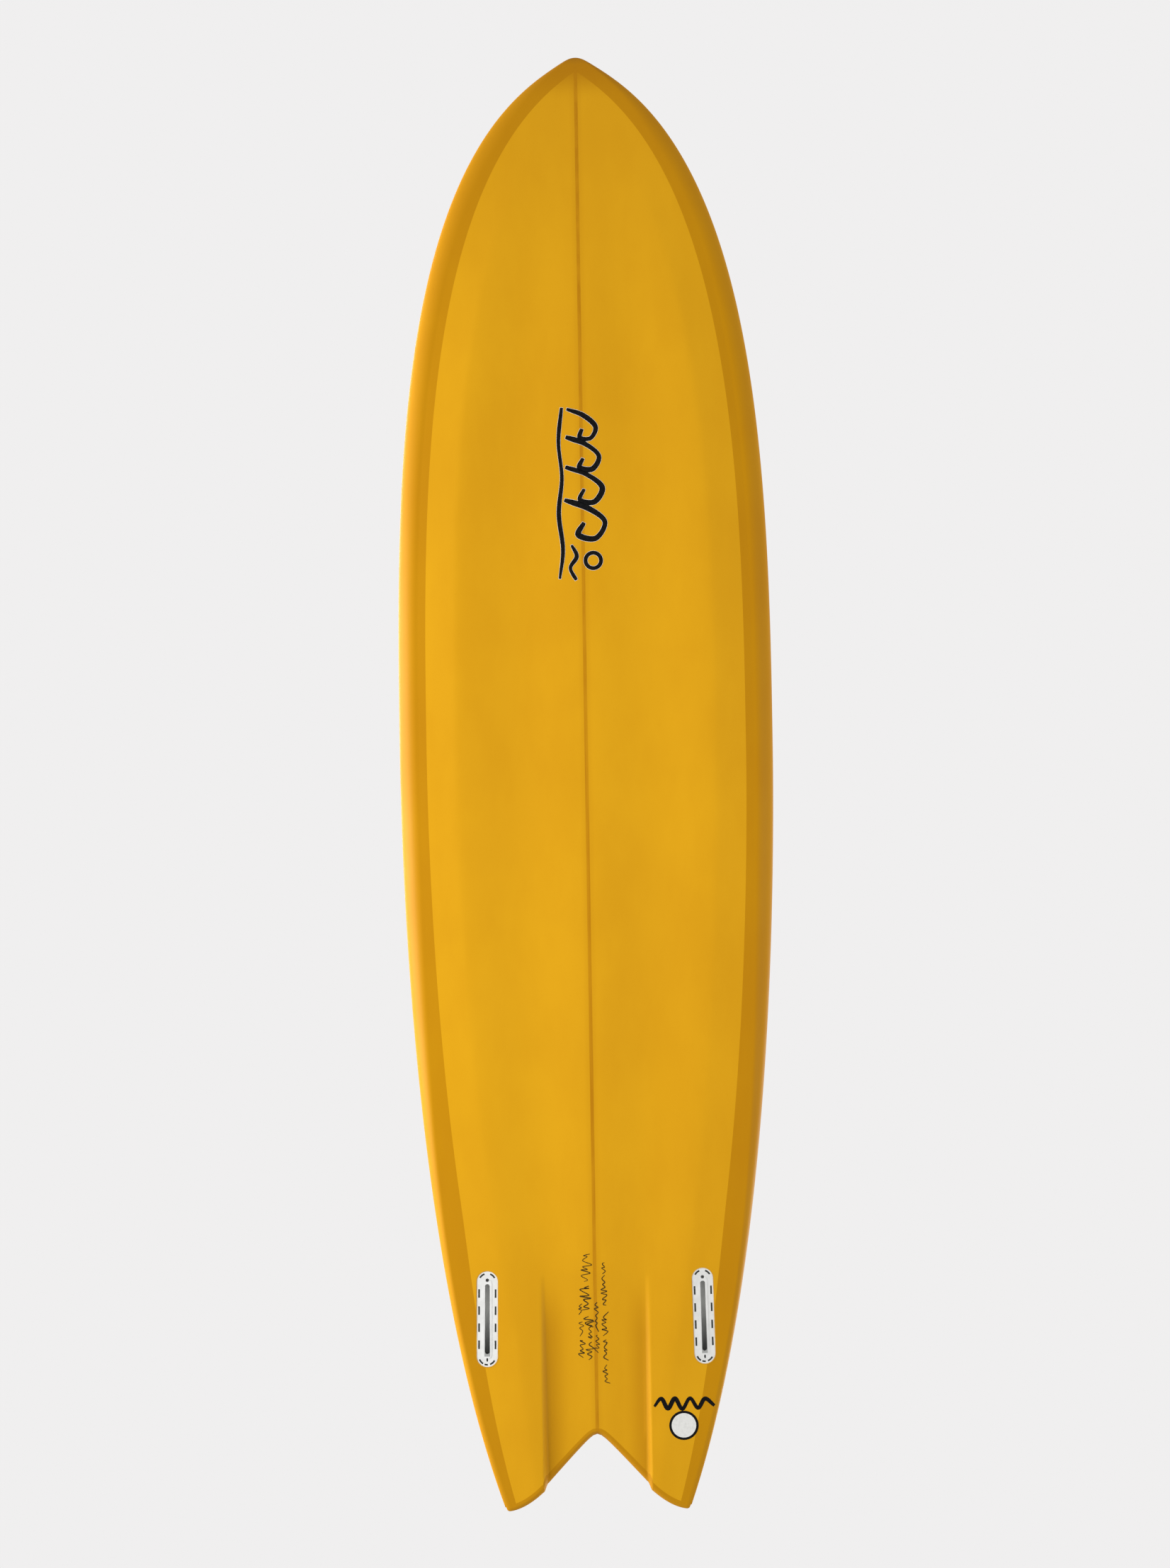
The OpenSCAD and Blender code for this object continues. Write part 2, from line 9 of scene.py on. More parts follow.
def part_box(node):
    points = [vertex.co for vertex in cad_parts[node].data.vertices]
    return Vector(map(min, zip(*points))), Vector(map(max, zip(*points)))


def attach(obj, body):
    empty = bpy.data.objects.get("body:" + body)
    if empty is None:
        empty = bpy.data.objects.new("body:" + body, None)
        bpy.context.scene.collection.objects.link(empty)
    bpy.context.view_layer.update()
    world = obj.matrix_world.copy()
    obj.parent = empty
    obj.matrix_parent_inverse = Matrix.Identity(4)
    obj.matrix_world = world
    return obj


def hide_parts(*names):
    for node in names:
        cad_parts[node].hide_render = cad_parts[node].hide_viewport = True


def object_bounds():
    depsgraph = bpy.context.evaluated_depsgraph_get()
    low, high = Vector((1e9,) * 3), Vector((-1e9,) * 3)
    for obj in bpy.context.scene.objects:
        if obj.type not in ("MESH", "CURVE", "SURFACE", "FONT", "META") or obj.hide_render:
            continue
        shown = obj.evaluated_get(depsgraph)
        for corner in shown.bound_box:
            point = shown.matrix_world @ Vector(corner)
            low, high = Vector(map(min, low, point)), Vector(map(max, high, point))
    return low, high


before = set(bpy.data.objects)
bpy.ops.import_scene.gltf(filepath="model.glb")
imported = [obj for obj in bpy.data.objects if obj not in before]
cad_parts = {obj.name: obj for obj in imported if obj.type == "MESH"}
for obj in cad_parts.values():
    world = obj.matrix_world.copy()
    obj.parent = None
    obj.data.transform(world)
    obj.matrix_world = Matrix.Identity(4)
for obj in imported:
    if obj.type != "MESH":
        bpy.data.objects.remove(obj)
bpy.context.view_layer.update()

# The board lies deck up: +X to the nose, +Y to the port rail, +Z out of the deck.
# Shape constants are in millimetres, and a station is a distance back from the nose tip.
MM = 0.001
BOARD_L = 2032.0
HALF_W = 260.3
WIDE_S = 962.0
NOSE_REACH, FORE_REACH, NOSE_FLAT = 110.0, 364.0, 2.2
AFT_REACH, TAIL_REACH, TAIL_SWING, TAIL_HALF_W = 208.0, 333.7, 122.2, 125.4
TAIL_CURVE_S = BOARD_L + 7.5              # the outline curve ends a little behind the tail
TIP_ROUND, TIP_ROUND_RUN = 24.0, 8.0      # roundness of the nose tip in plan
NOTCH_DEPTH, NOTCH_SLOPE, NOTCH_R = 106.5, 1.1, 8.0
TIP_FALL, TIP_R, TIP_HALF_W, TIP_POWER, TIP_INSET = 26.0, 6.0, 129.0, 1.8, 2.0
NOSE_ROCKER, TAIL_ROCKER, LOW_S = 118.0, 50.0, 1180.0
NOSE_ROCKER_POWER, TAIL_ROCKER_POWER, THIN_POWER = 2.6, 2.2, 2.4
THICK, THICK_S, NOSE_T, TAIL_T = 67.0, 980.0, 11.0, 13.0
RAIL_HEIGHT, CROWN_POWER, CROWN_ROUND = 0.40, 3.0, 0.55
CREASE_INSET, CREASE_SOFT, CREASE_TO_LAP = 79.0, 3.5, 0.45
CONCAVE, CONCAVE_COMES, CONCAVE_HALVES = 2.6, (150, 500), (1500, 1900)
BEVEL_SLOPE, BEVEL_COMES, BEVEL_HALVES = 0.115, (60, 480), (700, 1500)
CHANNEL_Y, CHANNEL_WALL, CHANNEL_D, CHANNEL_S = 69.0, 7.0, 7.0, 1700.0
CHANNEL_POWER, CHANNEL_END = 0.7, 40.0    # it is full depth this far ahead of the tail
CHANNEL_TOP = CHANNEL_Y + CHANNEL_WALL
WALL_SOFT = 0.5                           # how far the wall's corners are rounded, from none to an S curve
WALL_START, WALL_FULL_D = 6.0, 2.5        # the wall's width where it starts, and the depth at full width
LAP_W, LAP_TAIL_W, TAPER_S, TAPER_POWER = 37.6, 16.0, 1600.0, 1.5
TUCK_W, TUCK_TAIL_W, TUCK_SHARE, TUCK_NARROWS = 26.0, 9.0, 0.2, (1100, 1800)
# Where the board is narrow, each line keeps at least or at most this share of the half width
CREASE_SHARE, LAP_SHARE, FOOT_SHARE, TOP_SHARE = 0.3, 0.36, 0.5, 0.58
TAIL_START = 1700.0
SKIN = 0.9                                # shown thickness of each laminate
NOSE_EDGE, TAIL_EDGE, TAIL_LAP = 10.0, 5.0, 8.0
SMALL = 1e-6
# Rows of the surface: crowded at the nose, even along the body, then ending on the trailing edge
NOSE_RUN, NOSE_ROWS, NOSE_CROWD = 130, 40, 2.2
BODY_ROWS, TAIL_ROWS, LAP_ROWS, EDGE_ROWS = 190, 49, 4, 12
SETTLE_STEPS, SETTLE_SHARE, STEEPEST = 60, 0.6, 1.3


# ---------------------------------------------------------------- the board's surface

def clamp01(t):
    return np.clip(t, 0.0, 1.0)


def smooth(t):
    c = clamp01(t)
    return c * c * (3 - 2 * c)


def passed(s, start, end):
    return smooth((s - start) / (end - start))


def mix(a, b, t):
    return a + (b - a) * t


def bezier(a, b, c, d, t):
    u = 1 - t
    return u * u * u * a + 3 * u * u * t * b + 3 * u * t * t * c + t * t * t * d


T = np.linspace(0, 1, 8001)
EDGE_S = np.concatenate([
    bezier(0, NOSE_REACH, WIDE_S - FORE_REACH, WIDE_S, T),
    bezier(WIDE_S, WIDE_S + AFT_REACH, TAIL_CURVE_S - TAIL_REACH, TAIL_CURVE_S, T)[1:],
])
EDGE_Y = np.concatenate([
    bezier(0, HALF_W - NOSE_FLAT, HALF_W, HALF_W, T),
    bezier(HALF_W, HALF_W, TAIL_HALF_W + TAIL_SWING, TAIL_HALF_W, T)[1:],
])


def outline(s):
    """Half width at a station, with the nose tip rounded off in plan."""
    plain = np.interp(s, EDGE_S, EDGE_Y)
    return np.sqrt(plain * plain + 2 * TIP_ROUND * s * np.exp(-s / TIP_ROUND_RUN))


def trailing_edge(y):
    """Station of the trailing edge at a distance from the stringer."""
    def notch(v):
        return BOARD_L - NOTCH_DEPTH + NOTCH_SLOPE * (np.sqrt(v * v + NOTCH_R ** 2) - NOTCH_R)
    out = clamp01((y - CHANNEL_TOP) / (TIP_HALF_W - TIP_INSET - CHANNEL_TOP))
    corner = np.clip(y - TIP_HALF_W + TIP_R, 0, TIP_R)
    tip = BOARD_L - TIP_FALL * (1 - out) ** TIP_POWER - (TIP_R - np.sqrt(TIP_R ** 2 - corner ** 2))
    step = smooth((y - CHANNEL_Y) / CHANNEL_WALL)
    return mix(notch(np.minimum(y, CHANNEL_Y)), tip, step)


def rocker(s):
    fore = NOSE_ROCKER * np.maximum(0, (LOW_S - s) / LOW_S) ** NOSE_ROCKER_POWER
    aft = TAIL_ROCKER * np.maximum(0, (s - LOW_S) / (BOARD_L - LOW_S)) ** TAIL_ROCKER_POWER
    return fore + aft


def thickness(s):
    fore = mix(THICK, NOSE_T, np.maximum(0, (THICK_S - s) / THICK_S) ** THIN_POWER)
    aft = mix(THICK, TAIL_T, np.maximum(0, (s - THICK_S) / (BOARD_L - THICK_S)) ** THIN_POWER)
    return np.where(s < THICK_S, fore, aft)


def rail_z(s):
    return rocker(s) + RAIL_HEIGHT * thickness(s)


def lap_y(s, h):
    """Where the deck laminate's cut edge lies on the bottom. The sides meet at a point behind the nose."""
    tapered = clamp01((s - TAPER_S) / (BOARD_L - TAPER_S)) ** TAPER_POWER
    inset = LAP_W - (LAP_W - LAP_TAIL_W) * tapered
    return np.maximum(0.0, h - inset)


def tuck_y(s, h):
    return h - np.minimum(mix(TUCK_W, TUCK_TAIL_W, passed(s, *TUCK_NARROWS)), TUCK_SHARE * h)


def wall_y(s, h):
    """Foot and top of the channel's wall."""
    room = np.where(s > LOW_S, h, np.maximum(CREASE_SHARE * h, h - CREASE_INSET))
    return np.minimum(CHANNEL_Y, FOOT_SHARE * room), np.minimum(CHANNEL_TOP, TOP_SHARE * room)


def crease_y(s, h):
    top = wall_y(s, h)[1]
    lap = np.maximum(LAP_SHARE * h, h - LAP_W)
    return np.maximum(np.maximum(CREASE_SHARE * h, h - CREASE_INSET), mix(top, lap, CREASE_TO_LAP))


def bevel_slope(s):
    return BEVEL_SLOPE * passed(s, *BEVEL_COMES) * (1 - passed(s, *BEVEL_HALVES) / 2)


def bottom_z(s, y, h):
    """Height of the bottom, with the crease and the channel's wall a little softened."""
    crease = crease_y(s, h)
    foot, top = wall_y(s, h)
    tuck = tuck_y(s, h)
    inner = np.minimum(y, tuck)
    hollow = CONCAVE * passed(s, *CONCAVE_COMES) * (1 - passed(s, *CONCAVE_HALVES) / 2)
    channel_run = BOARD_L - CHANNEL_END - CHANNEL_S
    channel = CHANNEL_D * clamp01((s - CHANNEL_S) / channel_run) ** CHANNEL_POWER
    past = inner - crease
    lift = (past + np.sqrt(past * past + CREASE_SOFT ** 2)) / 2
    wall = (top - foot) * mix(WALL_START / CHANNEL_WALL, 1.0, clamp01(channel / WALL_FULL_D))
    up_wall = clamp01((y - top + wall) / (wall + SMALL))
    z = rocker(s) + bevel_slope(s) * lift + channel * (1 - mix(up_wall, smooth(up_wall), WALL_SOFT))
    z = z + hollow * np.sin(math.pi * np.minimum(1, inner / crease)) ** 2
    t = clamp01((y - tuck) / (h - tuck))
    return mix(z, rail_z(s), 1 - np.sqrt(np.maximum(0, 1 - t * t)))


def deck_z(s, y, h):
    f = np.minimum(1, y / h)
    crown = np.maximum(0, 1 - f ** CROWN_POWER) ** CROWN_ROUND
    return mix(rail_z(s), rocker(s) + thickness(s), crown)


# Columns from the stringer to the rail's apex: the counts of each stretch
COLUMNS = {"to_wall": 12, "wall": 8, "to_crease": 14, "to_lap": 16, "to_tuck": 7, "rail": 16}
LAP_COL = COLUMNS["to_wall"] + COLUMNS["wall"] + COLUMNS["to_crease"] + COLUMNS["to_lap"]
HALF_COLS = LAP_COL + COLUMNS["to_tuck"] + COLUMNS["rail"] + 1


def column_ys(s, h):
    """Distances from the stringer of every column, one row for each station."""
    foot, top = wall_y(s, h)
    crease, tuck = crease_y(s, h), tuck_y(s, h)
    lap = lap_y(s, h)
    stops = [
        (np.minimum(foot, lap * FOOT_SHARE), COLUMNS["to_wall"], False),
        (np.minimum(top, lap * TOP_SHARE), COLUMNS["wall"], False),
        (np.minimum(crease, lap * 0.75), COLUMNS["to_crease"], False),
        (lap, COLUMNS["to_lap"], False),
        (np.maximum(tuck, lap + TUCK_SHARE * (h - lap)), COLUMNS["to_tuck"], False),
        (h, COLUMNS["rail"], True),
    ]
    out, start = [0 * h], 0 * h
    for end, n, rail in stops:
        for k in range(1, n + 1):
            share = math.sin(math.pi / 2 * k / n) if rail else k / n
            out.append(mix(start, end, share))
        start = end
    return np.stack(out, axis=-1)


def tail_ends():
    """Station where each column meets the trailing edge, and a step's length along X over one across it."""
    s = np.full(HALF_COLS, BOARD_L - 20.0)
    for _ in range(SETTLE_STEPS):
        y = np.array([column_ys(v, outline(v))[c] for c, v in enumerate(s)])
        s = mix(s, trailing_edge(y), SETTLE_SHARE)
    rise = trailing_edge(y + 0.5) - trailing_edge(np.maximum(0, y - 0.5))
    slope = rise / np.minimum(1.0, y + 0.5)
    return s, np.sqrt(1 + np.clip(slope, -STEEPEST, STEEPEST) ** 2)


def surface_rows():
    """Stations of every row and column, and the share of full thickness left at the trailing edge."""
    nose = NOSE_RUN * (np.arange(NOSE_ROWS + 1) / NOSE_ROWS) ** NOSE_CROWD
    body = np.linspace(NOSE_RUN, TAIL_START, BODY_ROWS)[1:]
    fore = np.repeat(np.concatenate([nose, body])[:, None], HALF_COLS, 1)
    ends, stretch = tail_ends()
    rows, left = [], []
    for u in np.linspace(0, 1, TAIL_ROWS)[1:]:
        rows.append(mix(TAIL_START, ends - TAIL_LAP * stretch, u))
        left.append(np.ones(HALF_COLS))
    lap_row = len(fore) + len(rows) - 1
    for d in np.linspace(TAIL_LAP, TAIL_EDGE, LAP_ROWS)[1:]:
        rows.append(ends - d * stretch)
        left.append(np.ones(HALF_COLS))
    for k in range(1, EDGE_ROWS + 1):
        t = math.sin(math.pi / 2 * k / EDGE_ROWS)
        rows.append(ends - TAIL_EDGE * (1 - t) * stretch)
        left.append(np.full(HALF_COLS, math.sqrt(max(0.0, 1 - t * t))))
    stations = np.concatenate([fore, np.array(rows)])
    shares = np.concatenate([np.ones_like(fore), np.array(left)])
    return stations, shares, lap_row


def board_points():
    """Outer points of the bottom and the deck, port half, as arrays of row, column and x, y, z."""
    s, left, lap_row = surface_rows()
    h = np.maximum(outline(s), 1e-4)
    y = np.stack([column_ys(s[:, c], h[:, c])[:, c] for c in range(HALF_COLS)], axis=1)
    low, high = bottom_z(s, y, h), deck_z(s, y, h)
    nose = np.sqrt(1 - (1 - clamp01(s / NOSE_EDGE)) ** 2)
    low, high = mix(rail_z(s), low, nose), mix(rail_z(s), high, nose)
    mid = (low + high) / 2
    low, high = mix(mid, low, left), mix(mid, high, left)
    x = BOARD_L / 2 - s
    y[0] = 0
    return np.stack([x, y, low], -1) * MM, np.stack([x, y, high], -1) * MM, lap_row


def both_halves(grid):
    """Adds the starboard half in front of the port half's columns."""
    mirror = grid[:, :0:-1] * np.array([1, -1, 1])
    return np.concatenate([mirror, grid], axis=1)


def grid_quads(rows, cols, keep, start=0, turned=False):
    """Quads of a grid whose cell (row, column) passes keep."""
    quads = []
    for i in range(rows - 1):
        for c in range(cols - 1):
            if keep(i, c):
                q = [start + i * cols + c, start + i * cols + c + 1,
                     start + (i + 1) * cols + c + 1, start + (i + 1) * cols + c]
                quads.append(q[::-1] if turned else q)
    return quads


def make_object(name, verts, faces, smooth_shade=True):
    mesh = bpy.data.meshes.new(name)
    mesh.from_pydata([tuple(v) for v in verts], [], faces)
    obj = bpy.data.objects.new(name, mesh)
    bpy.context.scene.collection.objects.link(obj)
    if smooth_shade:
        mesh.polygons.foreach_set("use_smooth", [True] * len(mesh.polygons))
    return obj


def weld(obj, distance=1e-7):
    bm = bmesh.new()
    bm.from_mesh(obj.data)
    bmesh.ops.remove_doubles(bm, verts=bm.verts, dist=distance)
    bmesh.ops.dissolve_degenerate(bm, edges=bm.edges, dist=1e-8)
    loose = [v for v in bm.verts if not v.link_faces]
    bmesh.ops.delete(bm, geom=loose, context="VERTS")
    bm.to_mesh(obj.data)
    bm.free()


def apply_modifiers(obj):
    graph = bpy.context.evaluated_depsgraph_get()
    mesh = bpy.data.meshes.new_from_object(obj.evaluated_get(graph))
    obj.modifiers.clear()
    obj.data = mesh


def solidify(obj, thick):
    m = obj.modifiers.new("skin", "SOLIDIFY")
    m.thickness = thick
    m.offset = -1
    apply_modifiers(obj)


def cut(obj, cutters):
    for cutter in cutters:
        m = obj.modifiers.new("cut", "BOOLEAN")
        m.operation = "DIFFERENCE"
        m.solver = "EXACT"
        m.object = cutter
    apply_modifiers(obj)


def sharpen(obj, degrees=40):
    obj.data.polygons.foreach_set("use_smooth", [True] * len(obj.data.polygons))
    obj.data.set_sharp_from_angle(angle=math.radians(degrees))


# ---------------------------------------------------------------- fin boxes' and leash plug's places

BOX_L, BOX_W, BOX_S, BOX_Y = 134.4, 29.3, 1762.0, 151.0
BOX_TOE, BOX_SINK, RESIN_GAP = 1.0, 0.2, 1.1
BOX_CUT = (-8, 4)                         # how far the cutters reach out of the bottom and into the foam
PLUG_FLANGE_D, PLUG_CUT, PLUG_SIDES = 30.0, (-5, 6), 96
SIDES = {"port": 1, "starboard": -1}


def box_seat(behind):
    s = BOX_S + behind
    return float(bottom_z(s, BOX_Y, outline(s)))


def at_fin_box(side):
    """Matrix from the fin box's own frame, x to the nose and z into the board, in metres."""
    run = BOX_L / 2
    pitch = math.atan((box_seat(-run) - box_seat(run)) / (2 * run))
    slope = float(bevel_slope(BOX_S))
    turn = (Matrix.Rotation(-pitch, 4, "Y") @ Matrix.Rotation(side * math.atan(slope), 4, "X")
            @ Matrix.Rotation(-side * math.radians(BOX_TOE), 4, "Z"))
    place = Vector((BOARD_L / 2 - BOX_S, side * BOX_Y, box_seat(0) + BOX_SINK)) * MM
    return Matrix.Translation(place) @ turn


def capsule(length, width, steps=24):
    """Outline of a bar with round ends, counter-clockwise."""
    r, half = width / 2, (length - width) / 2
    points = []
    for centre, start in ((half, -90), (-half, 90)):
        for k in range(steps + 1):
            a = math.radians(start + 180 * k / steps)
            points.append((centre + r * math.cos(a), r * math.sin(a)))
    return points


def prism(name, points, z0, z1, matrix):
    n = len(points)
    verts = [matrix @ (Vector((x, y, z)) * MM) for z in (z0, z1) for x, y in points]
    faces = [list(range(n))[::-1], list(range(n, 2 * n))]
    faces += [[k, (k + 1) % n, n + (k + 1) % n, n + k] for k in range(n)]
    return make_object(name, verts, faces, smooth_shade=False)


# ---------------------------------------------------------------- material helpers

def new_material(name):
    mat = bpy.data.materials.new(name)
    mat.use_nodes = True
    nodes, links = mat.node_tree.nodes, mat.node_tree.links
    nodes.clear()
    out = nodes.new("ShaderNodeOutputMaterial")
    shader = nodes.new("ShaderNodeBsdfPrincipled")
    links.new(shader.outputs[0], out.inputs["Surface"])
    return mat, shader


def node(mat, kind, inputs=(), **settings):
    """Adds a node. inputs pairs a socket's name or index with a value or an output to link."""
    n = mat.node_tree.nodes.new(kind)
    for key, value in settings.items():
        setattr(n, key, value)
    for key, value in dict(inputs).items():
        if isinstance(value, bpy.types.NodeSocket):
            mat.node_tree.links.new(value, n.inputs[key])
        else:
            n.inputs[key].default_value = value
    return n


def link(mat, output, socket):
    mat.node_tree.links.new(output, socket)


def place_xyz(mat):
    coords = node(mat, "ShaderNodeTexCoord").outputs["Object"]
    split = node(mat, "ShaderNodeSeparateXYZ", {0: coords})
    return coords, split.outputs


def maths(mat, operation, a, b=0.0, c=0.0, clamp=False):
    n = node(mat, "ShaderNodeMath", {0: a, 1: b, 2: c}, operation=operation, use_clamp=clamp)
    return n.outputs[0]


def ramp(mat, value, low, high, out_low=0.0, out_high=1.0, kind="SMOOTHSTEP"):
    return node(mat, "ShaderNodeMapRange",
                {"Value": value, "From Min": low, "From Max": high, "To Min": out_low, "To Max": out_high},
                interpolation_type=kind).outputs[0]


def noise(mat, coords, scale, detail=3.0, rough=0.5, stretch=None):
    if stretch:
        coords = node(mat, "ShaderNodeMapping", {"Vector": coords, "Scale": stretch}).outputs[0]
    return node(mat, "ShaderNodeTexNoise",
                {"Vector": coords, "Scale": scale, "Detail": detail, "Roughness": rough}).outputs[0]


def blend(mat, share, a, b, mode="MIX"):
    n = node(mat, "ShaderNodeMix", data_type="RGBA", blend_type=mode)
    for index, value in ((0, share), (6, a), (7, b)):
        if isinstance(value, bpy.types.NodeSocket):
            link(mat, value, n.inputs[index])
        else:
            n.inputs[index].default_value = value
    return n.outputs[2]


def bump(mat, height, strength, distance):
    n = node(mat, "ShaderNodeBump", {"Height": height, "Strength": strength, "Distance": distance})
    return n.outputs[0]


def rgb(r, g, b):
    return (r, g, b, 1.0)


# ---------------------------------------------------------------- laminate

STRINGER_HALF, STRINGER_GLOW = 0.0024, 0.011
NOSE_X = BOARD_L / 2 * MM
CHANNEL_X = (BOARD_L / 2 - CHANNEL_S) * MM
PANEL = rgb(0.765, 0.385, 0.0085)
PANEL_DEEP = rgb(0.70, 0.335, 0.0060)
BAND = rgb(0.585, 0.268, 0.0028)
BAND_DEEP = rgb(0.54, 0.232, 0.0020)
STRINGER_TINT = rgb(0.52, 0.215, 0.0035)
SHADE_TINT = rgb(0.49, 0.205, 0.0025)           # painted shade at the foot of the channel's walls and at the nose
# Where the painted shade lies: along the foot of the channel's walls in the tail, and at the nose
WALL_SHADE_COMES, WALL_SHADE_GOES = (0.036, 0.066), (0.070, 0.076)
WALL_SHADE_RUN, WALL_SHADE_SHARE = 0.09, 0.50
NOSE_SHADE_STARTS, NOSE_SHADE_FULL, NOSE_SHADE_SHARE = 0.060, 0.012, 0.85
WEAVE = {"Scale": 130.0, "Distortion": 0.6, "Detail": 1.0}


def tinted_glass(name, light, deep, stringer):
    """Tinted resin over glass cloth and foam: cloudy pigment, faint weave, satin coat, light scratches."""
    mat, shader = new_material(name)
    coords, (x, y, _) = place_xyz(mat)
    cloud = noise(mat, coords, 3.2, 4.0, 0.55)
    drift = noise(mat, coords, 16.0, 3.0, 0.6, stretch=(0.35, 1.0, 1.0))
    speckle = noise(mat, coords, 420.0, 2.0, 0.6)
    clouds = ramp(mat, cloud, 0.34, 0.66, 0.0, 0.55)
    mottle = maths(mat, "ADD", clouds, ramp(mat, drift, 0.36, 0.66, 0.0, 0.30))
    mottle = maths(mat, "ADD", mottle, ramp(mat, speckle, 0.55, 0.78, 0.0, 0.22), clamp=True)
    colour = blend(mat, mottle, light, deep)
    off = maths(mat, "ABSOLUTE", y)
    if stringer:
        grain = noise(mat, coords, 120.0, 4.0, 0.65, stretch=(0.05, 1.0, 1.0))
        line = ramp(mat, off, STRINGER_HALF - 0.0006, STRINGER_HALF + 0.0009, 1.0, 0.0)
        line = maths(mat, "MULTIPLY", line, ramp(mat, grain, 0.3, 0.7, 0.62, 1.0))
        glow = ramp(mat, off, STRINGER_HALF, STRINGER_GLOW, 0.16, 0.0)
        colour = blend(mat, maths(mat, "MAXIMUM", line, glow), colour, STRINGER_TINT)
    # Painted shade: darker along the foot of the channel's walls and at the very nose, where shade falls
    comes, goes = ramp(mat, off, *WALL_SHADE_COMES), ramp(mat, off, *WALL_SHADE_GOES, 1.0, 0.0)
    near_wall = maths(mat, "MULTIPLY", comes, goes)
    in_tail = ramp(mat, x, CHANNEL_X, CHANNEL_X - WALL_SHADE_RUN, 0.0, WALL_SHADE_SHARE)
    at_nose = ramp(mat, x, NOSE_X - NOSE_SHADE_STARTS, NOSE_X - NOSE_SHADE_FULL, 0.0, NOSE_SHADE_SHARE)
    painted_shade = maths(mat, "MAXIMUM", maths(mat, "MULTIPLY", near_wall, in_tail), at_nose)
    colour = blend(mat, painted_shade, colour, SHADE_TINT)
    link(mat, colour, shader.inputs["Base Color"])
    warp, weft = (node(mat, "ShaderNodeTexWave", {"Vector": coords, **WEAVE}, bands_direction=way)
                  for way in ("X", "Y"))
    weave = maths(mat, "MULTIPLY", warp.outputs["Fac"], weft.outputs["Fac"])
    peel = noise(mat, coords, 55.0, 2.0, 0.5)
    height = maths(mat, "MULTIPLY_ADD", weave, 0.35, peel)
    link(mat, bump(mat, height, 0.05, 0.0004), shader.inputs["Normal"])
    coat = bump(mat, noise(mat, coords, 28.0, 2.0, 0.5), 0.06, 0.0006)
    link(mat, coat, shader.inputs["Coat Normal"])
    scratch = noise(mat, coords, 260.0, 3.0, 0.7, stretch=(0.06, 1.0, 1.0))
    satin = ramp(mat, cloud, 0.3, 0.7, 0.44, 0.52)
    rough = maths(mat, "ADD", satin, ramp(mat, scratch, 0.60, 0.74, 0.0, 0.10))
    link(mat, rough, shader.inputs["Roughness"])
    shader.inputs["Specular IOR Level"].default_value = 0.10
    shader.inputs["Coat Weight"].default_value = 0.04
    shader.inputs["Coat Roughness"].default_value = 0.30
    return mat


panel_mat = tinted_glass("tinted_glass_single", PANEL, PANEL_DEEP, stringer=True)
band_mat = tinted_glass("tinted_glass_double", BAND, BAND_DEEP, stringer=False)
nose_mat = tinted_glass("tinted_glass_double_stringer", BAND, BAND_DEEP, stringer=True)

low, high, LAP_ROW = board_points()
low, high = both_halves(low), both_halves(high)
ROWS, COLS = low.shape[:2]
MIDDLE = HALF_COLS - 1


def half_col(c):
    """Column of a cell counted out from the stringer."""
    return c - MIDDLE if c >= MIDDLE else MIDDLE - 1 - c


def on_panel(i, c):
    return i < LAP_ROW and half_col(c) < LAP_COL


def capsule_cutter(name, side, extra):
    points = capsule(BOX_L + 2 * extra, BOX_W + 2 * extra)
    return prism(name, points, *BOX_CUT, at_fin_box(side))


cutters = [capsule_cutter("pocket_" + s, v, RESIN_GAP) for s, v in SIDES.items()]

bottom_skin = make_object("bottom_skin", low.reshape(-1, 3), grid_quads(ROWS, COLS, on_panel, turned=True))
weld(bottom_skin)
solidify(bottom_skin, SKIN * MM)
cut(bottom_skin, cutters)
sharpen(bottom_skin)
bottom_skin.data.materials.append(panel_mat)

plug_low, plug_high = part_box("leash_plug")
plug_centre = (plug_low + plug_high) / 2
plug_r = PLUG_FLANGE_D / 2 + RESIN_GAP
ring = [(math.cos(math.tau * k / PLUG_SIDES) * plug_r, math.sin(math.tau * k / PLUG_SIDES) * plug_r)
        for k in range(PLUG_SIDES)]
plug_place = Matrix.Translation(Vector((plug_centre.x, plug_centre.y, plug_high.z)))
plug_cutter = prism("plug_hole", ring, *PLUG_CUT, plug_place)

deck_verts = np.concatenate([high.reshape(-1, 3), low.reshape(-1, 3)])
deck_faces = grid_quads(ROWS, COLS, lambda i, c: True)
deck_faces += grid_quads(ROWS, COLS, lambda i, c: not on_panel(i, c), start=ROWS * COLS, turned=True)
deck_skin = make_object("deck_skin", deck_verts, deck_faces)
for m in (panel_mat, band_mat, nose_mat):
    deck_skin.data.materials.append(m)

CELLS = (ROWS - 1) * (COLS - 1)
STRINGER_REACH = 0.012                    # the stringer's line lies within this of the middle
slots = []
for n, face in enumerate(deck_faces):
    panel = n < CELLS and on_panel(*divmod(n, COLS - 1))
    centre_y = abs(sum(deck_verts[v][1] for v in face)) / len(face)
    slots.append(0 if panel else 2 if centre_y < STRINGER_REACH else 1)
deck_skin.data.polygons.foreach_set("material_index", slots)
weld(deck_skin)
solidify(deck_skin, SKIN * MM)
cut(deck_skin, cutters + [plug_cutter])
sharpen(deck_skin)

for cutter in cutters + [plug_cutter]:
    bpy.data.objects.remove(cutter)

# ---------------------------------------------------------------- fin boxes, plug, metal and the hidden core

def local_mask(mat, side):
    """Coordinates in the fin box's own frame, in metres."""
    back = at_fin_box(side).inverted()
    loc, rot, _ = back.decompose()
    coords = node(mat, "ShaderNodeTexCoord").outputs["Object"]
    moved = {"Vector": coords, "Rotation": rot.to_euler(), "Location": loc}
    turned = node(mat, "ShaderNodeMapping", moved).outputs[0]
    return turned, node(mat, "ShaderNodeSeparateXYZ", {0: turned}).outputs
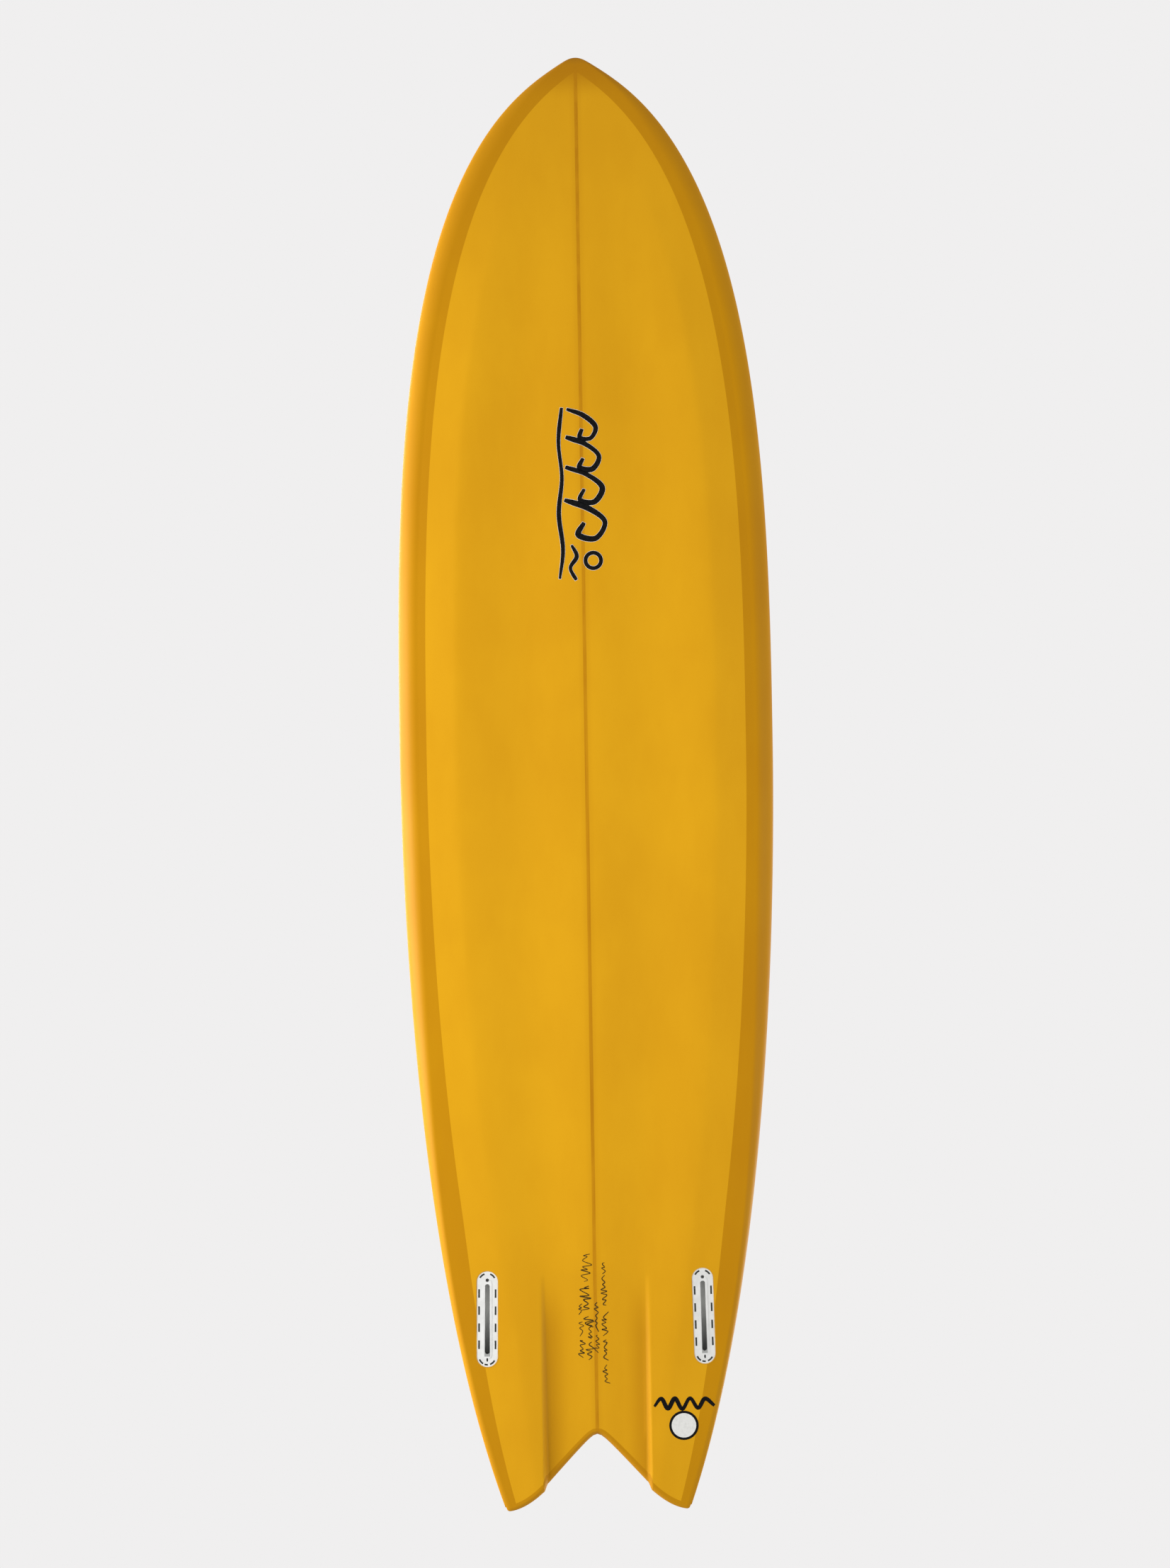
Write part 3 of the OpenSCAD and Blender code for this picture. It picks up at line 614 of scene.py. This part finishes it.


# Painted shade: the slot darkens toward its rear end, and the slits below the flange's face are dark
SLOT_SHADE = rgb(0.30, 0.31, 0.30)
SLIT_SHADE = rgb(0.050, 0.056, 0.052)
SLOT_HALF_W, SLOT_HALF_L = (0.0038, 0.0042), (0.0520, 0.0530)
SLIT_DEPTH = (0.0005, 0.0011)


def box_plastic(name, side):
    """White moulded nylon, sanded with the board: faint lines, painted shade in the slits and toward the
    slot's rear end.
    """
    mat, shader = new_material(name)
    coords, (x, y, z) = local_mask(mat, side)
    cloud = noise(mat, coords, 60.0, 3.0, 0.6)
    sand = noise(mat, coords, 900.0, 2.0, 0.7, stretch=(0.12, 1.0, 1.0))
    colour = blend(mat, ramp(mat, cloud, 0.35, 0.7), rgb(0.83, 0.835, 0.82), rgb(0.76, 0.765, 0.75))
    off, along = maths(mat, "ABSOLUTE", y), maths(mat, "ABSOLUTE", x)
    in_width, in_length = ramp(mat, off, *SLOT_HALF_W, 1.0, 0.0), ramp(mat, along, *SLOT_HALF_L, 1.0, 0.0)
    in_slot = maths(mat, "MULTIPLY", in_width, in_length)
    # Painted shade in the slits, below the flange's face
    slit_shade = maths(mat, "MULTIPLY", ramp(mat, z, *SLIT_DEPTH), maths(mat, "SUBTRACT", 1.0, in_slot))
    colour = blend(mat, slit_shade, colour, SLIT_SHADE)
    # Painted shade in the slot, darker toward its rear end
    slot_shade = maths(mat, "MULTIPLY", ramp(mat, x, 0.020, -0.050, 0.0, 0.85), in_slot)
    colour = blend(mat, slot_shade, colour, SLOT_SHADE)
    link(mat, colour, shader.inputs["Base Color"])
    link(mat, ramp(mat, sand, 0.3, 0.7, 0.42, 0.62), shader.inputs["Roughness"])
    link(mat, bump(mat, sand, 0.15, 0.0001), shader.inputs["Normal"])
    return mat


def cast_resin(name):
    """Amber-tinted resin, sanded flush."""
    mat, shader = new_material(name)
    coords, _ = place_xyz(mat)
    cloud = noise(mat, coords, 45.0, 4.0, 0.6)
    bubbles = node(mat, "ShaderNodeTexVoronoi", {"Vector": coords, "Scale": 700.0}).outputs["Distance"]
    colour = blend(mat, ramp(mat, cloud, 0.35, 0.65), rgb(0.72, 0.40, 0.045), rgb(0.60, 0.29, 0.020))
    colour = blend(mat, ramp(mat, bubbles, 0.02, 0.10, 0.35, 0.0), colour, rgb(0.34, 0.17, 0.020))
    link(mat, colour, shader.inputs["Base Color"])
    link(mat, ramp(mat, cloud, 0.3, 0.7, 0.30, 0.42), shader.inputs["Roughness"])
    link(mat, bump(mat, bubbles, 0.2, 0.0001), shader.inputs["Normal"])
    return mat


def moulded_plastic(name, light, dark):
    mat, shader = new_material(name)
    coords, _ = place_xyz(mat)
    cloud = noise(mat, coords, 80.0, 3.0, 0.6)
    grit = noise(mat, coords, 1500.0, 2.0, 0.6)
    link(mat, blend(mat, ramp(mat, cloud, 0.35, 0.7), light, dark), shader.inputs["Base Color"])
    link(mat, ramp(mat, grit, 0.3, 0.7, 0.38, 0.55), shader.inputs["Roughness"])
    link(mat, bump(mat, grit, 0.2, 0.00008), shader.inputs["Normal"])
    return mat


def turned_steel(name):
    """Stainless steel with tool marks and a few dull spots."""
    mat, shader = new_material(name)
    coords, _ = place_xyz(mat)
    lines = noise(mat, coords, 2600.0, 2.0, 0.6, stretch=(1.0, 0.08, 1.0))
    dull = noise(mat, coords, 350.0, 3.0, 0.6)
    colour = blend(mat, ramp(mat, dull, 0.4, 0.7), rgb(0.56, 0.56, 0.55), rgb(0.33, 0.32, 0.30))
    link(mat, colour, shader.inputs["Base Color"])
    link(mat, ramp(mat, lines, 0.3, 0.7, 0.24, 0.42), shader.inputs["Roughness"])
    link(mat, bump(mat, lines, 0.25, 0.00005), shader.inputs["Normal"])
    shader.inputs["Metallic"].default_value = 1.0
    return mat


def shaped_foam(name):
    """Closed-cell foam, planed and sanded."""
    mat, shader = new_material(name)
    coords, _ = place_xyz(mat)
    cells = node(mat, "ShaderNodeTexVoronoi", {"Vector": coords, "Scale": 1400.0}).outputs["Distance"]
    cloud = noise(mat, coords, 8.0, 3.0, 0.5)
    colour = blend(mat, ramp(mat, cloud, 0.3, 0.7), rgb(0.86, 0.84, 0.78), rgb(0.78, 0.75, 0.66))
    link(mat, colour, shader.inputs["Base Color"])
    link(mat, bump(mat, cells, 0.4, 0.0003), shader.inputs["Normal"])
    shader.inputs["Roughness"].default_value = 0.85
    return mat


def planed_wood(name):
    mat, shader = new_material(name)
    coords, _ = place_xyz(mat)
    grain = noise(mat, coords, 160.0, 5.0, 0.65, stretch=(0.04, 1.0, 1.0))
    colour = blend(mat, ramp(mat, grain, 0.3, 0.7), rgb(0.42, 0.26, 0.13), rgb(0.24, 0.13, 0.055))
    link(mat, colour, shader.inputs["Base Color"])
    link(mat, ramp(mat, grain, 0.3, 0.7, 0.5, 0.7), shader.inputs["Roughness"])
    link(mat, bump(mat, grain, 0.3, 0.0002), shader.inputs["Normal"])
    return mat


def dress(node_name, mat):
    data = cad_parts[node_name].data
    data.materials.clear()
    data.materials.append(mat)


resin_mat = cast_resin("cast_resin")
steel_mat = turned_steel("stainless")
foam_mat = shaped_foam("foam")
for side, sign in SIDES.items():
    dress("fin_box_" + side, box_plastic("box_plastic_" + side, sign))
    dress("fin_box_resin_" + side, resin_mat)
    dress("fin_screw_" + side, steel_mat)
    dress("blank_" + side, foam_mat)
dress("stringer", planed_wood("stringer_wood"))
dress("deck_patch", cast_resin("patch_glass"))
dress("leash_plug_resin", resin_mat)
dress("leash_plug", moulded_plastic("plug_plastic", rgb(0.74, 0.74, 0.72), rgb(0.64, 0.64, 0.62)))
dress("leash_pin", steel_mat)

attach(bottom_skin, "board")
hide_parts("bottom_laminate")
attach(deck_skin, "board")
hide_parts("deck_laminate")

# ---------------------------------------------------------------- marks inked on the bottom

INK_T = 0.10
TOP_LIFT, EDGE_LIFT, WHITE_LIFT = 0.24, 0.12, 0.11


def spline(points, step):
    """Points along a smooth curve through given points, about a step apart."""
    p = np.array(points, float)
    p = np.vstack([2 * p[0] - p[1], p, 2 * p[-1] - p[-2]])
    out = []
    for k in range(1, len(p) - 2):
        n = max(2, int(np.linalg.norm(p[k + 1] - p[k]) / step))
        for t in np.arange(n) / n:
            out.append(0.5 * (2 * p[k] + (p[k + 1] - p[k - 1]) * t
                              + (2 * p[k - 1] - 5 * p[k] + 4 * p[k + 1] - p[k + 2]) * t ** 2
                              + (3 * p[k] - p[k - 1] - 3 * p[k + 1] + p[k + 2]) * t ** 3))
    out.append(p[-2])
    return np.array(out)


def on_bottom(s, y, lift):
    """Points on the bottom at a lift out from it, in metres."""
    s, y = np.asarray(s, float), np.asarray(y, float)
    z = bottom_z(s, np.abs(y), outline(s)) - lift
    return np.stack([BOARD_L / 2 - s, y, z], -1) * MM


class Ink:
    """Thin closed strokes and discs that lie on the bottom."""

    def __init__(self):
        self.verts, self.faces = [], []

    def strip(self, left, right, lift):
        n, start = len(left), len(self.verts)
        for side, out in ((left, lift), (right, lift), (left, lift - INK_T), (right, lift - INK_T)):
            self.verts += [tuple(v) for v in on_bottom(side[:, 0], side[:, 1], out)]
        a, b, c, d = (start + k * n for k in range(4))
        for k in range(n - 1):
            self.faces += [
                [a + k, a + k + 1, b + k + 1, b + k], [c + k, d + k, d + k + 1, c + k + 1],
                [a + k, c + k, c + k + 1, a + k + 1], [b + k, b + k + 1, d + k + 1, d + k],
            ]
        self.faces += [[a, b, d, c], [a + n - 1, c + n - 1, d + n - 1, b + n - 1]]

    def stroke(self, points, width, lift, grow=0.0, taper=0.35, step=1.5):
        line = spline(points, step)
        way = np.gradient(line, axis=0)
        way /= np.linalg.norm(way, axis=1)[:, None] + 1e-9
        t = np.linspace(0, 1, len(line))
        ends = np.minimum(1, np.minimum(t, 1 - t) / 0.12) ** 0.7
        half = (width / 2) * mix(1 - taper, 1.0, ends) * (1 + 0.12 * np.sin(9 * t + len(line))) + grow
        across = np.stack([-way[:, 1], way[:, 0]], 1) * half[:, None]
        ahead = way * grow
        line[0] -= ahead[0]
        line[-1] += ahead[-1]
        self.strip(line + across, line - across, lift)

    def disc(self, s, y, radius, lift, inner=0.0):
        a = np.linspace(0, math.tau, 73)
        rim = np.stack([s + radius * np.cos(a), y + radius * np.sin(a)], 1)
        core = np.stack([s + inner * np.cos(a), y + inner * np.sin(a)], 1)
        self.strip(rim, core, lift)

    def build(self, name, mat, slot):
        obj = make_object(name, self.verts, self.faces, smooth_shade=False)
        weld(obj, 1e-6)
        bm = bmesh.new()
        bm.from_mesh(obj.data)
        bmesh.ops.recalc_face_normals(bm, faces=bm.faces)
        bm.to_mesh(obj.data)
        bm.free()
        obj.data.materials.append(mat)
        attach(obj, "board")


def ink_material(name, light, dark, rough):
    """Ink on the sanded resin, slightly uneven."""
    mat, shader = new_material(name)
    coords, _ = place_xyz(mat)
    patch = noise(mat, coords, 240.0, 4.0, 0.7)
    link(mat, blend(mat, ramp(mat, patch, 0.4, 0.75), light, dark), shader.inputs["Base Color"])
    link(mat, ramp(mat, patch, 0.3, 0.7, rough - 0.06, rough + 0.08), shader.inputs["Roughness"])
    shader.inputs["Specular IOR Level"].default_value = 0.12
    return mat


black_ink = ink_material("black_ink", rgb(0.003, 0.003, 0.004), rgb(0.009, 0.009, 0.009), 0.55)
white_ink = ink_material("white_ink", rgb(0.84, 0.84, 0.82), rgb(0.74, 0.74, 0.72), 0.42)
pencil_lead = ink_material("pencil_lead", rgb(0.055, 0.034, 0.008), rgb(0.13, 0.074, 0.012), 0.55)

# A row of breaking waves and a low sun, brushed along the stringer: (station, distance from it)
WAVES = [
    ([(494, -20), (503, 3), (519, 20), (535, 13), (534, -2), (522, 1)], 6.6),
    ([(533, -22), (543, 5), (560, 24), (578, 15), (576, -3), (563, 2)], 7.0),
    ([(575, -23), (586, 7), (604, 28), (624, 17), (621, -3), (606, 3)], 7.2),
    ([(621, -25), (633, 8), (652, 31), (675, 18), (670, -6), (653, 2)], 7.6),
    ([(492, -27), (540, -32), (590, -28), (640, -33), (690, -28), (731, -33)], 5.6),
    ([(684, -16), (700, -9), (716, -18), (733, -10)], 5.4),
]
SUN_S, SUN_Y, SUN_R, SUN_RING = 706, 14, 13.5, 5.4
OUTLINE = 0.4
strokes, edges = Ink(), Ink()
for points, width in WAVES:
    strokes.stroke(points, width, TOP_LIFT)
    edges.stroke(points, width, EDGE_LIFT, grow=OUTLINE)
strokes.disc(SUN_S, SUN_Y, SUN_R, TOP_LIFT, inner=SUN_R - SUN_RING)
edges.disc(SUN_S, SUN_Y, SUN_R + OUTLINE, EDGE_LIFT, inner=SUN_R - SUN_RING - OUTLINE)
strokes.build("brush_mark", black_ink, "bottom_glass")
edges.build("brush_mark_edge", white_ink, "bottom_glass")

# A brushed ripple over a ringed disc, by the port rail
RIPPLE = [(1888, 80), (1877, 90), (1891, 99), (1877, 109), (1892, 119),
          (1877, 130), (1891, 141), (1878, 151), (1888, 164)]
RIPPLE_W = 5.6
DISC_S, DISC_Y, DISC_R, DISC_RING = 1915.0, 121.0, 20.5, 3.4
tail_ink, tail_white = Ink(), Ink()
tail_ink.stroke(RIPPLE, RIPPLE_W, EDGE_LIFT)
tail_ink.disc(DISC_S, DISC_Y, DISC_R, EDGE_LIFT, inner=DISC_R - DISC_RING)
tail_white.disc(DISC_S, DISC_Y, DISC_R - DISC_RING, WHITE_LIFT)
tail_ink.build("tail_mark", black_ink, "bottom_glass")
tail_white.build("tail_mark_white", white_ink, "bottom_glass")

PENCIL_W = 1.3
GROUP_L, GROUP_GAP, LOOP_STEP, LOOP_LEAN = (14, 46), (3, 8), (2.0, 4.6), 2.2
LOOP_HEIGHTS, LOOP_ODDS = [0.35, 0.55, 0.9, 1.25], [0.35, 0.35, 0.2, 0.1]
LINE_DRIFT, SHORTEST = 0.008, 10
# Start and end station, distance from the stringer, loop height and random seed of each line
PENCIL_LINES = [
    (1684, 1858, 12, 9.0, 3),
    (1673, 1776, -13, 14.0, 5),
    (1768, 1822, -8, 10.0, 8),
    (1742, 1822, -21, 9.0, 11),
    (1740, 1810, 1, 6.0, 14),
]


def pencil_line(ink, start, end, y, height, seed):
    """A run of pencilled scribble along the board, in short groups of uneven loops."""
    rng = np.random.default_rng(seed)
    s = start
    while s < end - SHORTEST:
        run = min(end - s, rng.uniform(*GROUP_L))
        points, at, sign = [], s, 1
        while at < s + run:
            tall = height * rng.choice(LOOP_HEIGHTS, p=LOOP_ODDS)
            lean = rng.uniform(-LOOP_LEAN, LOOP_LEAN)
            points.append((at + lean, y + sign * tall / 2 + (at - start) * LINE_DRIFT))
            at += rng.uniform(*LOOP_STEP)
            sign = -sign
        if len(points) > 2:
            ink.stroke(points, PENCIL_W * rng.uniform(0.8, 1.15), EDGE_LIFT, step=1.0, taper=0.3)
        s += run + rng.uniform(*GROUP_GAP)


notes = Ink()
for start, end, y, height, seed in PENCIL_LINES:
    pencil_line(notes, start, end, y, height, seed)
notes.build("pencil_notes", pencil_lead, "bottom_glass")

# ---------------------------------------------------------------- floor, light and camera

scene = bpy.context.scene
scene.view_settings.view_transform = "Standard"
board_low, board_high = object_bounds()
span = board_high.x - board_low.x

FLOOR_HALF, FLOOR_GAP = 7.0, 0.0002
CORNERS = ((-1, -1), (1, -1), (1, 1), (-1, 1))
floor_z = board_low.z - FLOOR_GAP
floor_corners = [(x * FLOOR_HALF, y * FLOOR_HALF, floor_z) for x, y in CORNERS]
floor = make_object("floor", floor_corners, [[0, 1, 2, 3]], smooth_shade=False)
# The camera looks up at the bottom, so the floor shows only from above and blocks no light
floor_mat = bpy.data.materials.new("floor")
floor_mat.use_nodes = True
floor_mat.node_tree.nodes.clear()
out = node(floor_mat, "ShaderNodeOutputMaterial")
clear = node(floor_mat, "ShaderNodeBsdfTransparent")
pale = node(floor_mat, "ShaderNodeBsdfDiffuse", {"Color": rgb(0.78, 0.775, 0.77)})
from_below = node(floor_mat, "ShaderNodeNewGeometry").outputs["Backfacing"]
from_above = maths(floor_mat, "SUBTRACT", 1.0, from_below)
floor_ray = node(floor_mat, "ShaderNodeLightPath").outputs["Is Camera Ray"]
seen = maths(floor_mat, "MULTIPLY", floor_ray, from_above)
shown = node(floor_mat, "ShaderNodeMixShader", {0: seen, 1: clear.outputs[0], 2: pale.outputs[0]})
link(floor_mat, shown.outputs[0], out.inputs["Surface"])
floor.data.materials.append(floor_mat)

BACKDROP = rgb(0.871, 0.863, 0.863)
world = bpy.data.worlds.new("studio")
scene.world = world
world.use_nodes = True
world.node_tree.nodes.clear()
sky = node(world, "ShaderNodeTexCoord").outputs["Generated"]
down = maths(world, "MULTIPLY", node(world, "ShaderNodeSeparateXYZ", {0: sky}).outputs[2], -1.0)
AMBIENT, AMBIENT_UNDER = 0.735, 0.05      # the light from all round, and from straight below
ambient = ramp(world, down, 0.70, 0.97, AMBIENT, AMBIENT_UNDER)
glow = node(world, "ShaderNodeBackground", {"Color": rgb(1.0, 0.99, 0.97), "Strength": ambient})
backdrop = node(world, "ShaderNodeBackground", {"Color": BACKDROP, "Strength": 1.0})
camera_ray = node(world, "ShaderNodeLightPath").outputs["Is Camera Ray"]
both = node(world, "ShaderNodeMixShader", {0: camera_ray, 1: glow.outputs[0], 2: backdrop.outputs[0]})
world_out = node(world, "ShaderNodeOutputWorld")
link(world, both.outputs[0], world_out.inputs["Surface"])


def soft_light(name, place, aim, size, power):
    data = bpy.data.lights.new(name, "AREA")
    data.shape = "RECTANGLE"
    data.size, data.size_y = size
    data.energy = power
    light = bpy.data.objects.new(name, data)
    scene.collection.objects.link(light)
    light.location = place
    light.rotation_euler = (Vector(aim) - Vector(place)).to_track_quat("-Z", "X").to_euler()
    light.visible_camera = False


MIDDLE_POINT = (0.0, 0.0, 0.03)
soft_light("key_below", (-0.1, -3.1, -0.75), MIDDLE_POINT, (3.4, 1.4), 168.0)
soft_light("fill_below", (-0.4, 2.6, -1.9), MIDDLE_POINT, (3.2, 1.6), 26.0)
soft_light("key_above", (0.6, -2.6, 2.6), MIDDLE_POINT, (3.0, 1.6), 70.0)
soft_light("fill_above", (-1.2, 2.4, 2.4), MIDDLE_POINT, (2.6, 1.6), 30.0)

LENS, SENSOR = 400.0, 36.0
SPAN_SHARE = 0.92751                      # share of the frame's height that the board takes
AIM_RIGHT, AIM_UP = 0.00117, 0.00077      # the board's middle off the frame's, as shares of its height
ROLL = math.radians(0.93)
AIM_Z = 0.055
distance = span / SPAN_SHARE * LENS / SENSOR
cam_data = bpy.data.cameras.new("camera")
cam_data.lens, cam_data.sensor_width = LENS, SENSOR
cam_data.clip_end = 100.0
cam = bpy.data.objects.new("camera", cam_data)
scene.collection.objects.link(cam)
scene.camera = cam
up = Vector((math.cos(ROLL), math.sin(ROLL), 0))
right = Vector((-math.sin(ROLL), math.cos(ROLL), 0))
forward = Vector((0, 0, 1))
frame_height = span / SPAN_SHARE
centre = Vector(((board_low.x + board_high.x) / 2, 0, AIM_Z))
centre -= (right * AIM_RIGHT + up * AIM_UP) * frame_height
turn = Matrix((right, up, -forward)).transposed()
cam.matrix_world = Matrix.Translation(centre - forward * distance) @ turn.to_4x4()
